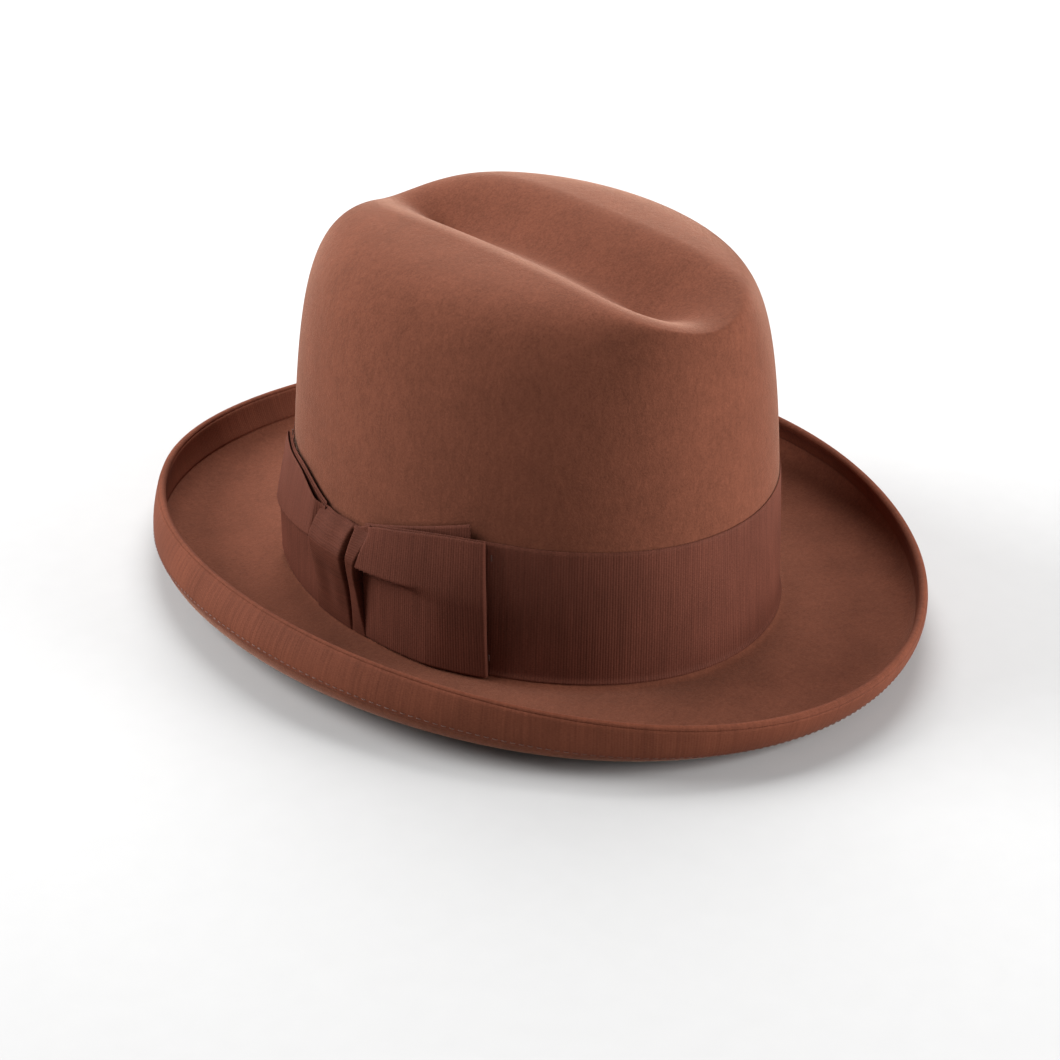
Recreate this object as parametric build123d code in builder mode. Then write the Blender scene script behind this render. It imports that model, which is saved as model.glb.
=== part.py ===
"""A felt homburg: one stiffened felt hood with a gutter dent and a rolled, bound brim, a ribbon
band with a flat bow, and a leather sweatband and satin lining inside.

The frame is the wearer's: the front of the hat is -Y, the wearer's left is +X and +Z is up.
The origin is in the middle of the brim's plan, at the height of the brim's lowest point.
"""

from build123d import *
from math import atan2, cos, hypot, pi, radians, sin, sqrt
import os

# ---------------------------------------------------------------- driving dimensions, in mm
# Values in threes are those at the side, the front and the back of the hat.

brim_drop = 3.83                     # height of the crown's base line above the origin
felt = 2.2                           # thickness of the felt
ribbon = 0.5                         # thickness of a grosgrain ribbon
leather = 1.2                        # thickness of the sweatband
satin = 0.3                          # thickness of the lining
skin_gap = 0.08                      # clear space between a skin and what it lies on

crown_half_width = 85.5              # outside of the crown at its base
crown_half_length = 102.5
crown_base = (0.5, -0.5, -0.5)       # the base line is a slight saddle
crown_break = 4.0                    # radius between crown and brim
spine = 53.0                         # half the length of the dent's straight bottom line

brim_half_width = 128.0              # plan of the rim
brim_half_length = 163.2
rim_height = (21.2, 12.5, 12.5)      # rim above the crown's base line
curl_angle = (133.0, 73.0, 73.0)     # direction of the brim where it ends at the rim
curl_length = (26.5, 21.2, 21.2)
brim_flat = 0.657                    # share of the brim that starts out level

ridge_reach = (31.6, 30.0, 40.7)     # from the spine out to the top of the ridge
ridge_squareness = 3.9
ridge_height = (139.5, 126.5, 129.8)
ridge_sharpness = (3.1, 4.2)         # how late the ridge dips, at the front and at the back
ridge_slope = (4.0, 20.0, 10.7)      # outward fall of the crown at the ridge, in degrees
shoulder_drop = 0.6                  # share of that fall that is already below the shoulder
wall_lean = (1.9, 6.6, 4.0)
wall_pull = (0.93, 0.70, 0.71)
top_pull = (0.84, 1.02, 0.50)
dent_height = (125.5, 121.5, 122.0)  # bottom of the dent
dent_floor = (0.24, 0.26, 0.42)      # how far its bottom runs out level
dent_edge = (0.37, 0.40, 0.31)       # how far its rounded edge runs in

band_height = 53.4
binding_outside = 13.5               # width of the binding under the curl
binding_inside = 11.0                # and on the upper side of the brim
binding_seam_inset = 1.3             # from the binding's lower edge up to its stitches
binding_stitch_count = 176
sweatband_height = 43.0
sweatband_foot = 0.8                 # its lower edge, above the crown's base line
reed_radius = 0.6
reed_drop = 0.95                     # the reed hangs just below the sweatband's foot
sweatband_stitch_count = 150
thread = 0.22                        # radius of the sewing thread
thread_gap = 0.02
stitch_length = 2.4
lining_bottom = 34.0                 # the lining is tucked behind the sweatband
lining_seam = 100.0                  # height of the seam between the lining's side and tip
lining_seam_gap = 0.4
lining_play = 0.15                   # between the lining and the sweatband
shield_half_width = 28.0             # the clear film under the lining's tip
shield_half_length = 62.0
size_label_edges = (24.0, 36.0)      # in fan degrees
size_label_heights = (16.0, 30.0)
label_thickness = 0.32

bow_knot_edges = (-9.4, 2.7)         # where the bow's parts begin and end, in fan degrees
rear_loop_end = 25.2
rear_underlay_end = 21.7
front_loop_end = -33.0
front_underlay_end = -29.0
bow_bottom = 4.1                     # heights of the bow's parts above the base line
knot_top = 46.4
rear_loop_top = 55.0
rear_underlay_heights = (26.0, 59.8)
front_loop_top = 52.0
front_underlay_top = 51.2
underlay_thickness = 1.1
loop_standoff = 5.8                  # how far the loops stand out from the felt
knot_standoff = 9.0
seam_play = 0.2                      # fan degrees between the bow's parts
tack_offset = 0.4                    # fan degrees from a loop's end to its tacks
tack_heights = (8.0, 48.0)
rear_bow_height = 24.0               # the small bow on the sweatband's joint
rear_bow_clearance = 1.3             # from the sweatband to the bow's back
rear_bow_half = (11.0, 3.2)
rear_bow_waist = (1.2, 1.2)
rear_bow_knot = (3.4, 4.2)
rear_bow_thickness = 0.9
fan_step = 10                        # degrees between the sections of the hat

fan = [radians(step) for step in range(-90, 91, fan_step)]


# ---------------------------------------------------------------- the section of the hat
# The hat is cut by upright planes that fan out from the dent's bottom line.  In each plane a
# point is (distance from the line, height), and the section is four cubic curves.

def blend(values, angle, powers=(2.0, 2.0)):
    """The value at one plane of the fan, from the side, front and back values."""
    side, front, back = values
    end, power = (front, powers[0]) if angle < 0 else (back, powers[1])
    return side + (end - side) * abs(sin(angle)) ** power


def oval_reach(half_width, half_length, angle):
    """Distance from the spine out to an oval."""
    a = (cos(angle) / half_width) ** 2 + (sin(angle) / half_length) ** 2
    b = 2 * spine * (sin(angle) / half_length) ** 2
    c = (spine * sin(angle) / half_length) ** 2 - 1
    return (sqrt(b * b - 4 * a * c) - b) / (2 * a)


def step_from(point, distance, direction):
    """The point at a distance from another, in a direction given in radians."""
    return (point[0] + distance * cos(direction), point[1] + distance * sin(direction))


def direction(curve, at_end):
    """Direction of a curve at its start or its end."""
    a, b = (curve[2], curve[3]) if at_end else (curve[0], curve[1])
    return atan2(b[1] - a[1], b[0] - a[0])


def brim_curve(angle):
    """Upper side of the brim, from its rim in to the crown's break."""
    base = brim_drop + blend(crown_base, angle)
    root = (oval_reach(crown_half_width, crown_half_length, angle) + crown_break, base)
    rim = (oval_reach(brim_half_width, brim_half_length, angle), base + blend(rim_height, angle))
    end = radians(blend(curl_angle, angle))
    curl = step_from(rim, -blend(curl_length, angle), end)
    level = (root[0] + (rim[0] - root[0]) * brim_flat, base)
    return [rim, curl, level, root]


def crown_foot(angle):
    """Where the crown's wall begins, above the break."""
    root = brim_curve(angle)[3]
    return (root[0] - crown_break, root[1] + crown_break)


def ridge_point(angle):
    """Top of the ridge that runs round the dent."""
    side, front, back = ridge_reach
    end = front if angle < 0 else back
    n = ridge_squareness
    reach = ((cos(angle) / side) ** n + (abs(sin(angle)) / end) ** n) ** (-1 / n)
    return (reach, brim_drop + blend(ridge_height, angle, ridge_sharpness))


def wall_curve(angle):
    """Outside of the crown, from the break up to the ridge."""
    foot = crown_foot(angle)
    ridge = ridge_point(angle)
    run = foot[0] - ridge[0]
    slope = radians(blend(ridge_slope, angle))
    rise = ridge[1] - foot[1] - run * sin(slope) * shoulder_drop
    lower = (foot[0] - blend(wall_lean, angle), foot[1] + rise * blend(wall_pull, angle))
    upper = step_from(ridge, run * blend(top_pull, angle), -slope)
    return [foot, lower, upper, ridge]


def break_curve(angle):
    """The small round between the brim and the crown."""
    root, foot = brim_curve(angle)[3], crown_foot(angle)
    pull = crown_break * 0.55
    up_wall = direction(wall_curve(angle), False)
    return [root, (root[0] - pull, root[1]), step_from(foot, -pull, up_wall), foot]


def dent_curve(angle):
    """The dent, from the ridge down to its bottom line."""
    ridge = ridge_point(angle)
    slope = radians(blend(ridge_slope, angle))
    edge = step_from(ridge, -ridge[0] * blend(dent_edge, angle), -slope)
    bottom = brim_drop + blend(dent_height, angle)
    floor = (ridge[0] * blend(dent_floor, angle), bottom)
    return [ridge, edge, floor, (0.0, bottom)]


def offset_curve(curve, distance):
    """A parallel curve, to the left of the way the curve runs when distance is positive."""
    first, last = direction(curve, False), direction(curve, True)
    start = step_from(curve[0], distance, first + pi / 2)
    end = step_from(curve[3], distance, last + pi / 2)
    chord = hypot(curve[3][0] - curve[0][0], curve[3][1] - curve[0][1])
    scale = hypot(end[0] - start[0], end[1] - start[1]) / chord
    first_pull = scale * hypot(curve[1][0] - curve[0][0], curve[1][1] - curve[0][1])
    last_pull = scale * hypot(curve[3][0] - curve[2][0], curve[3][1] - curve[2][1])
    return [start, step_from(start, first_pull, first), step_from(end, -last_pull, last), end]


def halfway(a, b, share):
    return (a[0] + (b[0] - a[0]) * share, a[1] + (b[1] - a[1]) * share)


def cut_curve(curve, share):
    """The two pieces of a cubic curve, cut at a share of its parameter."""
    ab, bc, cd = [halfway(curve[i], curve[i + 1], share) for i in range(3)]
    abc, bcd = halfway(ab, bc, share), halfway(bc, cd, share)
    middle = halfway(abc, bcd, share)
    return [curve[0], ab, abc, middle], [middle, bcd, cd, curve[3]]


def share_where(curve, passed):
    """The share of a curve's parameter at which a test of the cut point first holds."""
    low, high = 0.0, 1.0
    for _ in range(30):
        share = (low + high) / 2
        if passed(cut_curve(curve, share)[0][3]):
            high = share
        else:
            low = share
    return high


def fan_plane(angle):
    """The upright plane of the fan at an angle, with x outward and y up."""
    origin = (0, spine * sin(angle), 0)
    outward = (cos(angle), sin(angle), 0)
    return Plane(origin=origin, x_dir=outward, z_dir=(sin(angle), -cos(angle), 0))


def section(angle, curves):
    """The face inside cubic curves set end to end, with each gap closed by a straight line."""
    edges = []
    with BuildLine(fan_plane(angle)):
        for curve, following in zip(curves, curves[1:] + curves[:1]):
            edges.append(Bezier(*curve))
            if hypot(curve[3][0] - following[0][0], curve[3][1] - following[0][1]) > 1e-6:
                edges.append(Line(curve[3], following[0]))
    return Face(Wire(edges))


def whole(half):
    """The solid made of a half and its mirror image, with no wall between the two."""
    skin = [face for face in half.faces() if face.bounding_box().max.X > 0.01]
    return Solid(Shell(skin + [face.mirror(Plane.YZ) for face in skin]))


def back_along(curves):
    """The same curves, followed the other way."""
    return [curve[::-1] for curve in reversed(curves)]


def rounded_end(start, end, heading):
    """A half-round edge from one side of a layer to the other."""
    pull = hypot(end[0] - start[0], end[1] - start[1]) * 2 / 3
    return [start, step_from(start, pull, heading), step_from(end, pull, heading), end]


def upper_curves(angle):
    return [brim_curve(angle), break_curve(angle), wall_curve(angle), dent_curve(angle)]


def wall_between(angle, low, high):
    """The piece of the crown's wall between two heights above the base line."""
    base = brim_drop + blend(crown_base, angle)
    wall = cut_curve(wall_curve(angle), share_where(wall_curve(angle), high_test(base + high)))[0]
    if base + low > wall[0][1]:
        wall = cut_curve(wall, share_where(wall, high_test(base + low)))[1]
    return wall


def high_test(height):
    return lambda point: point[1] >= height


def far_test(start, distance):
    return lambda point: hypot(point[0] - start[0], point[1] - start[1]) >= distance


def layer(angle, curves, near, far):
    """The section of a layer that lies on curves, between two distances to their left."""
    inner = [offset_curve(curve, near) for curve in curves]
    outer = [offset_curve(curve, far) for curve in curves]
    return section(angle, inner + back_along(outer))


# ---------------------------------------------------------------- felt body

def felt_section(angle):
    upper = upper_curves(angle)
    under = [offset_curve(curve, felt) for curve in upper]
    heading = direction(upper[0], False) + pi
    rim = rounded_end(under[0][0], upper[0][0], heading)
    return section(angle, [rim] + upper + back_along(under))


with BuildPart() as felt_body:
    add(whole(loft([felt_section(angle) for angle in fan], mode=Mode.PRIVATE)))
felt_body.part.label = "felt_body"


# ---------------------------------------------------------------- ribbon on the brim and crown

def binding_section(angle):
    """The ribbon folded over the rim: a leg above the brim, a round end and a leg under it."""
    brim = brim_curve(angle)
    under = offset_curve(brim, felt)
    above = cut_curve(brim, share_where(brim, far_test(brim[0], binding_inside)))[0]
    below = cut_curve(under, share_where(under, far_test(under[0], binding_outside)))[0]
    heading = direction(brim, False) + pi
    near, far = skin_gap, skin_gap + ribbon
    above_near, above_far = offset_curve(above, -near), offset_curve(above, -far)
    below_near, below_far = offset_curve(below, near), offset_curve(below, far)
    inner_fold = rounded_end(below_near[0], above_near[0], heading)
    outer_fold = rounded_end(above_far[0], below_far[0], heading)
    inside = back_along([below_near]) + [inner_fold, above_near]
    outside = back_along([above_far]) + [outer_fold, below_far]
    return section(angle, inside + outside)


def band_section(angle):
    """The hat band, which flares a little where it meets the brim."""
    flare = cut_curve(break_curve(angle), 0.5)[1]
    return layer(angle, [flare, wall_between(angle, 0, band_height)], -skin_gap, -skin_gap - ribbon)


with BuildPart() as brim_binding:
    add(whole(loft([binding_section(angle) for angle in fan], mode=Mode.PRIVATE)))
brim_binding.part.label = "brim_binding"

with BuildPart() as hat_band:
    add(whole(loft([band_section(angle) for angle in fan], mode=Mode.PRIVATE)))
hat_band.part.label = "hat_band"


# ---------------------------------------------------------------- bow on the wearer's left

def strip(start, end, low, high, near, far):
    """A curved plate outside the crown, between two fan angles in degrees."""
    angles = [radians(start + (end - start) * step / 4) for step in range(5)]
    faces = [layer(angle, [wall_between(angle, low, high)], -near, -far) for angle in angles]
    return loft(faces, mode=Mode.PRIVATE)


band_outside = skin_gap + ribbon
underlay_outside = band_outside + underlay_thickness

with BuildPart() as bow_knot:
    add(strip(*bow_knot_edges, bow_bottom, knot_top, band_outside + skin_gap, knot_standoff))
bow_knot.part.label = "bow_knot"

with BuildPart() as bow_rear_underlay:
    add(strip(bow_knot_edges[1] + seam_play, rear_underlay_end, *rear_underlay_heights,
              band_outside + skin_gap, underlay_outside))
bow_rear_underlay.part.label = "bow_rear_underlay"

with BuildPart() as bow_rear_loop:
    add(strip(bow_knot_edges[1] + seam_play, rear_loop_end, bow_bottom, rear_loop_top,
              underlay_outside + skin_gap, loop_standoff))
bow_rear_loop.part.label = "bow_rear_loop"

with BuildPart() as bow_front_underlay:
    add(strip(bow_knot_edges[0] - seam_play, front_underlay_end, bow_bottom, front_underlay_top,
              band_outside + skin_gap, underlay_outside))
bow_front_underlay.part.label = "bow_front_underlay"

with BuildPart() as bow_front_loop:
    add(strip(bow_knot_edges[0] - seam_play, front_loop_end, bow_bottom, front_loop_top,
              underlay_outside + skin_gap, loop_standoff))
bow_front_loop.part.label = "bow_front_loop"


# ---------------------------------------------------------------- inside of the crown
# The lining lies against the felt, and the sweatband lies against the lining.

lining_near = felt + skin_gap
lining_far = lining_near + satin
sweatband_near = lining_far + lining_play
sweatband_far = sweatband_near + leather


def straight(start, end):
    """A straight line, given as a cubic curve."""
    return [start, halfway(start, end, 1 / 3), halfway(start, end, 2 / 3), end]


def sweatband_curve(angle):
    """The wall from a little under its foot up to the sweatband's top."""
    wall = wall_between(angle, 0, sweatband_height)
    low = step_from(wall[0], sweatband_foot - crown_break, direction(wall, False))
    return [straight(low, wall[0]), wall]


def sweatband_section(angle):
    return layer(angle, sweatband_curve(angle), sweatband_near, sweatband_far)


def reed_section(angle):
    """The round reed in the sweatband's lower edge."""
    low = sweatband_curve(angle)[0][0]
    middle = (low[0] - (sweatband_near + sweatband_far) / 2, low[1] - reed_drop)
    outer = (middle[0] + reed_radius, middle[1])
    inner = (middle[0] - reed_radius, middle[1])
    return section(angle, [rounded_end(outer, inner, -pi / 2), rounded_end(inner, outer, pi / 2)])


def lining_side_section(angle):
    return layer(angle, [wall_between(angle, lining_bottom, lining_seam)], lining_near, lining_far)


def lining_tip_section(angle):
    """The top of the lining, which follows the crown over the ridge and into the dent."""
    base = brim_drop + blend(crown_base, angle)
    wall = wall_curve(angle)
    start = base + lining_seam + lining_seam_gap
    top = cut_curve(wall, share_where(wall, high_test(start)))[1]
    return layer(angle, [top, dent_curve(angle)], lining_near, lining_far)


with BuildPart() as sweatband:
    add(whole(loft([sweatband_section(angle) for angle in fan], mode=Mode.PRIVATE)))
sweatband.part.label = "sweatband"

with BuildPart() as sweatband_reed:
    add(whole(loft([reed_section(angle) for angle in fan], mode=Mode.PRIVATE)))
sweatband_reed.part.label = "sweatband_reed"

with BuildPart() as lining_side:
    add(whole(loft([lining_side_section(angle) for angle in fan], mode=Mode.PRIVATE)))
lining_side.part.label = "lining_side"

with BuildPart() as lining_tip:
    add(whole(loft([lining_tip_section(angle) for angle in fan], mode=Mode.PRIVATE)))
lining_tip.part.label = "lining_tip"

shield_top = brim_drop + min(dent_height) - lining_far - skin_gap
with BuildPart() as tip_shield:
    with BuildSketch(Plane.XY.offset(shield_top)):
        Ellipse(shield_half_width, shield_half_length)
    extrude(amount=-satin)
tip_shield.part.label = "tip_shield"

label_near = -sweatband_far - skin_gap
with BuildPart() as size_label:
    add(strip(*size_label_edges, *size_label_heights, label_near, label_near - label_thickness))
size_label.part.label = "size_label"


# ---------------------------------------------------------------- thread

def fan_point(angle, point):
    """A point of a section, in the hat's own frame."""
    return Vector(point[0] * cos(angle), (point[0] + spine) * sin(angle), point[1])


def lift(curve, distance):
    """The start of a curve, moved to its left."""
    return step_from(curve[0], distance, direction(curve, False) + pi / 2)


def binding_seam(angle):
    """Where the binding is sewn down, near its edge under the curl."""
    under = offset_curve(brim_curve(angle), felt + band_outside + thread + thread_gap)
    inset = binding_outside - binding_seam_inset
    return cut_curve(under, share_where(under, far_test(under[0], inset)))[1]


def sweatband_seam(angle):
    return wall_curve(angle)


def stitch_row(seam, distance, count):
    """Even places round the whole hat, beside the start of each section's seam curve."""
    left = [fan_point(angle, lift(seam(angle), distance)) for angle in fan]
    right = [Vector(-point.X, point.Y, point.Z) for point in left[-2:0:-1]]
    row = Spline(*left, *right, periodic=True)
    return [row.location_at(step / count) for step in range(count)]


with BuildPart() as binding_stitches:
    with Locations(*stitch_row(binding_seam, 0, binding_stitch_count)):
        Cylinder(thread, stitch_length)
binding_stitches.part.label = "binding_stitches"

thread_inside = sweatband_far + thread + thread_gap
with BuildPart() as sweatband_stitches:
    with Locations(*stitch_row(sweatband_seam, thread_inside, sweatband_stitch_count)):
        Cylinder(thread, stitch_length)
sweatband_stitches.part.label = "sweatband_stitches"


def tack(angle, height):
    """The place of an upright tack on the outside of the band."""
    wall = wall_between(radians(angle), height, band_height)
    spot = lift(wall, -band_outside - thread - thread_gap)
    return Pos(fan_point(radians(angle), spot))


tack_angles = (front_loop_end - tack_offset, rear_loop_end + tack_offset)
with BuildPart() as bow_tacks:
    with Locations(*[tack(angle, height) for angle in tack_angles for height in tack_heights]):
        Cylinder(thread, stitch_length)
bow_tacks.part.label = "bow_tacks"


# ---------------------------------------------------------------- small bow inside, at the back

rear_bow_wall = wall_between(pi / 2, rear_bow_height, band_height)
rear_bow_seat = lift(rear_bow_wall, sweatband_far + rear_bow_clearance)
rear_bow_plane = Plane(fan_point(pi / 2, rear_bow_seat), x_dir=(1, 0, 0), z_dir=(0, -1, 0))

with BuildPart() as sweatband_bow:
    with BuildSketch(rear_bow_plane):
        with BuildLine():
            (waist_x, waist_y), (end_x, end_y) = rear_bow_waist, rear_bow_half
            Polyline((waist_x, waist_y), (end_x, end_y), (end_x, -end_y), (waist_x, -waist_y),
                     close=True)
        make_face()
        mirror(about=Plane.YZ)
        Rectangle(*rear_bow_knot)
    extrude(amount=rear_bow_thickness)
sweatband_bow.part.label = "sweatband_bow"


# ---------------------------------------------------------------- files

pieces = [felt_body, brim_binding, binding_stitches, hat_band, bow_knot, bow_rear_loop,
          bow_rear_underlay, bow_front_loop, bow_front_underlay, bow_tacks, sweatband,
          sweatband_reed, sweatband_stitches, sweatband_bow, size_label, lining_side,
          lining_tip, tip_shield]

os.makedirs("parts", exist_ok=True)
for piece in pieces:
    export_step(piece.part, f"parts/{piece.part.label}.step")
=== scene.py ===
"""The look of the homburg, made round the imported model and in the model's own frame.

The front of the hat is -Y, the wearer's left is +X and +Z is up.  Shapes are worked out in
millimetres from the same sections as the model and become metres when a mesh is made.
"""

import bpy
import numpy as np
from math import cos, pi, radians, sin
from mathutils import Matrix, Vector


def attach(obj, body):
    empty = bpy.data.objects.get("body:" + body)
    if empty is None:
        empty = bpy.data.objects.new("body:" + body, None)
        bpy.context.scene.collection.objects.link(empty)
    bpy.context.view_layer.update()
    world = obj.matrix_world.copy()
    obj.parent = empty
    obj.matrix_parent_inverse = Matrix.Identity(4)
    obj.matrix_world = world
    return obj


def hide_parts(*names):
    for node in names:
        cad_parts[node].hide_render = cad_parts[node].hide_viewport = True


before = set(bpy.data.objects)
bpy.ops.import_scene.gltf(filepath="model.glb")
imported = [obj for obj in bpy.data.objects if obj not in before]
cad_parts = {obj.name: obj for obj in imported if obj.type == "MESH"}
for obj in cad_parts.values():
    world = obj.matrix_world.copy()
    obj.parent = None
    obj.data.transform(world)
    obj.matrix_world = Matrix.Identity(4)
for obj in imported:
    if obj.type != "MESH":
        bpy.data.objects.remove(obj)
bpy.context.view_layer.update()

MM = 0.001
rng = np.random.default_rng(7)

# ---------------------------------------------------------------- sizes of the hat, in mm
# Values in threes are those at the side, the front and the back of the hat.

brim_drop = 3.83                     # height of the crown's base line above the origin
felt = 2.2                           # thickness of the felt
ribbon = 0.5                         # thickness of a grosgrain ribbon
leather = 1.2                        # thickness of the sweatband
satin = 0.3                          # thickness of the lining
skin_gap = 0.08                      # clear space between a skin and what it lies on

crown_half_width = 85.5
crown_half_length = 102.5
crown_base = (0.5, -0.5, -0.5)
crown_break = 4.0                    # radius between crown and brim
spine = 53.0                         # half the length of the dent's straight bottom line

brim_half_width = 128.0
brim_half_length = 163.2
rim_height = (21.2, 12.5, 12.5)
curl_angle = (133.0, 73.0, 73.0)
curl_length = (26.5, 21.2, 21.2)
brim_flat = 0.657

ridge_reach = (31.6, 30.0, 40.7)
ridge_squareness = 3.9
ridge_height = (139.5, 126.5, 129.8)
ridge_sharpness = (3.1, 4.2)
ridge_slope = (4.0, 20.0, 10.7)
wall_lean = (1.9, 6.6, 4.0)
wall_pull = (0.93, 0.70, 0.71)
top_pull = (0.84, 1.02, 0.50)
dent_height = (125.5, 121.5, 122.0)
dent_floor = (0.24, 0.26, 0.42)
dent_edge = (0.37, 0.40, 0.31)

band_height = 53.4
binding_outside = 13.5               # how far the binding reaches in under the brim's rim
binding_inside = 11.0                # and on its upper side
binding_press = 2.5                  # width of the inner edge that sinks into the felt
sweatband_height = 43.0
sweatband_fall = 3.2                 # how far the sweatband hangs below the crown's wall
lining_bottom = 34.0
lining_seam = 100.0                  # where the lining's wall meets its top
lining_pleats = 62                   # waves round the lining's wall
lining_pleat_depth = 1.5
thin_cloth = 0.3                     # thickness of the label and of the small rear bow's ribbon
label_angles = (24.0, 36.0)          # degrees from the wearer's left towards the back
label_heights = (16.0, 30.0)

binding_stitch = (1.9, 0.15)         # length and radius of a stitch
binding_stitch_pitch = 3.03
binding_stitch_inset = 1.3           # from the binding's lower edge
binding_stitch_lift = 0.12           # the thread's height above the cloth
sweatband_stitch = (2.1, 0.22)
sweatband_stitch_pitch = 3.1
sweatband_stitch_height = 5.5
sweatband_stitch_lift = 0.05
stitch_lines = np.array([-1.0, 0.0, 1.0])      # a row of stitches with a line on either side

edge_thinning = 0.45                 # share of its thickness that a sheet keeps at its edges
rim_round = 0.42                     # how far the felt's rim bulges, as a share of its thickness
wave_count = 14                      # waves in the hat's slight unevenness
wave_spread = 38.0                   # about how far a wave takes to rise and turn
wave_push = 0.11                     # about how far one wave moves a point
texture_radius = 95.0                # mean distance out, for the felt's texture coordinates

rib_pitch = 1.0                      # the ribs of the grosgrain
rib_height = 0.09
rib_level = 0.7                      # share of a rib's height that lies below the ribbon's face
rib_samples = 6                      # mesh rows to each rib
felt_rows = 600                      # sections round the hat in the felt's mesh
tip_rows = 420                       # and in the mesh of the lining's top


# ---------------------------------------------------------------- smooth steps and curves

def ease(x, start, end):
    """Runs smoothly from 0 at start to 1 at end."""
    t = np.clip((x - start) / (end - start), 0, 1)
    return t * t * (3 - 2 * t)


def curve_through(x, xs, ys):
    """A smooth curve through a few points."""
    xs, ys = np.asarray(xs, float), np.asarray(ys, float)
    slope = np.gradient(ys, xs)
    k = np.clip(np.searchsorted(xs, x, side="right") - 1, 0, len(xs) - 2)
    gap = xs[k + 1] - xs[k]
    t = np.clip((x - xs[k]) / gap, 0, 1)
    return ((2 * t ** 3 - 3 * t ** 2 + 1) * ys[k] + (t ** 3 - 2 * t ** 2 + t) * gap * slope[k]
            + (3 * t ** 2 - 2 * t ** 3) * ys[k + 1] + (t ** 3 - t ** 2) * gap * slope[k + 1])


# ---------------------------------------------------------------- sections of the hat
# An array of fan angles gives an array of sections.  A point is (distance out, height).

def blend(values, angle, powers=(2.0, 2.0)):
    """The value at each angle, from the side, front and back values."""
    side, front, back = values
    ahead = np.sin(angle) < 0
    end = np.where(ahead, front, back)
    power = np.where(ahead, powers[0], powers[1])
    return side + (end - side) * np.abs(np.sin(angle)) ** power


def pair(out, height):
    """Points from their distances out and their heights."""
    return np.stack(np.broadcast_arrays(out, height), -1)


def oval_reach(half_width, half_length, angle):
    """Distance from the spine out to an oval."""
    a = (np.cos(angle) / half_width) ** 2 + (np.sin(angle) / half_length) ** 2
    b = 2 * spine * (np.sin(angle) / half_length) ** 2
    c = (spine * np.sin(angle) / half_length) ** 2 - 1
    return (np.sqrt(b * b - 4 * a * c) - b) / (2 * a)


def step_from(point, distance, heading):
    """A point at some distance in a heading, both within the section."""
    return point + pair(distance * np.cos(heading), distance * np.sin(heading))


def brim_curve(angle):
    """Upper side of the brim, from its rim in to the crown's break."""
    base = brim_drop + blend(crown_base, angle)
    root = pair(oval_reach(crown_half_width, crown_half_length, angle) + crown_break, base)
    rim_out = oval_reach(brim_half_width, brim_half_length, angle)
    rim = pair(rim_out, base + blend(rim_height, angle))
    curl = step_from(rim, -blend(curl_length, angle), np.radians(blend(curl_angle, angle)))
    level = pair(root[:, 0] + (rim_out - root[:, 0]) * brim_flat, base)
    return np.stack([rim, curl, level, root], 1)


def ridge_point(angle):
    """The rounded edge between the crown's wall and its dent."""
    side, front, back = ridge_reach
    end = np.where(np.sin(angle) < 0, front, back)
    n = ridge_squareness
    share = (np.abs(np.cos(angle)) / side) ** n + (np.abs(np.sin(angle)) / end) ** n
    return pair(share ** (-1 / n), brim_drop + blend(ridge_height, angle, ridge_sharpness))


def wall_curve(angle):
    """Outside of the crown, from the break up to the ridge."""
    foot = brim_curve(angle)[:, 3] + (-crown_break, crown_break)
    ridge = ridge_point(angle)
    run = foot[:, 0] - ridge[:, 0]
    slope = np.radians(blend(ridge_slope, angle))
    rise = ridge[:, 1] - foot[:, 1] - run * np.sin(slope) * 0.6
    lower = foot + pair(-blend(wall_lean, angle), rise * blend(wall_pull, angle))
    upper = step_from(ridge, run * blend(top_pull, angle), -slope)
    return np.stack([foot, lower, upper, ridge], 1)


def break_curve(angle):
    """The small round between the brim and the crown."""
    root, wall = brim_curve(angle)[:, 3], wall_curve(angle)
    pull = crown_break * 0.55
    rise = wall[:, 1] - wall[:, 0]
    up_wall = np.arctan2(rise[:, 1], rise[:, 0])
    return np.stack([root, root - (pull, 0), step_from(wall[:, 0], -pull, up_wall), wall[:, 0]], 1)


def dent_curve(angle):
    """The dent, from the ridge down to its bottom line."""
    ridge = ridge_point(angle)
    slope = np.radians(blend(ridge_slope, angle))
    edge = step_from(ridge, -ridge[:, 0] * blend(dent_edge, angle), -slope)
    bottom = brim_drop + blend(dent_height, angle)
    floor = pair(ridge[:, 0] * blend(dent_floor, angle), bottom)
    return np.stack([ridge, edge, floor, pair(0.0, bottom)], 1)


def cubic(curves, t):
    """Points of each cubic curve of an array, at shares t of its way."""
    a, b, c, d = (curves[:, None, i] for i in range(4))
    return (1 - t) ** 3 * a + 3 * t * (1 - t) ** 2 * b + 3 * t * t * (1 - t) * c + t ** 3 * d


def trace(curves, count, start=0.0, end=1.0):
    """Evenly shared points along each cubic curve of an array."""
    return cubic(curves, np.linspace(start, end, count)[None, :, None])


def join(*paths):
    """Paths that follow each other, without their shared points."""
    return np.concatenate([paths[0]] + [path[:, 1:] for path in paths[1:]], 1)


def offset(path, distance):
    """A parallel path, towards the felt's own side where the distance is positive."""
    run = np.gradient(path, axis=1)
    run /= np.linalg.norm(run, axis=-1, keepdims=True)
    return path + np.stack([-run[..., 1], run[..., 0]], -1) * distance


def lengths_of(path):
    """Length run at each point of each path."""
    steps = np.linalg.norm(np.diff(path, axis=1), axis=-1)
    return np.concatenate([np.zeros((len(path), 1)), np.cumsum(steps, 1)], 1)


def at_lengths(path, lengths):
    """The points at given lengths along each path."""
    along = lengths_of(path)
    rows = [[np.interp(lengths, s, p[:, 0]), np.interp(lengths, s, p[:, 1])]
            for s, p in zip(along, path)]
    return np.array(rows).transpose(0, 2, 1)


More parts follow.
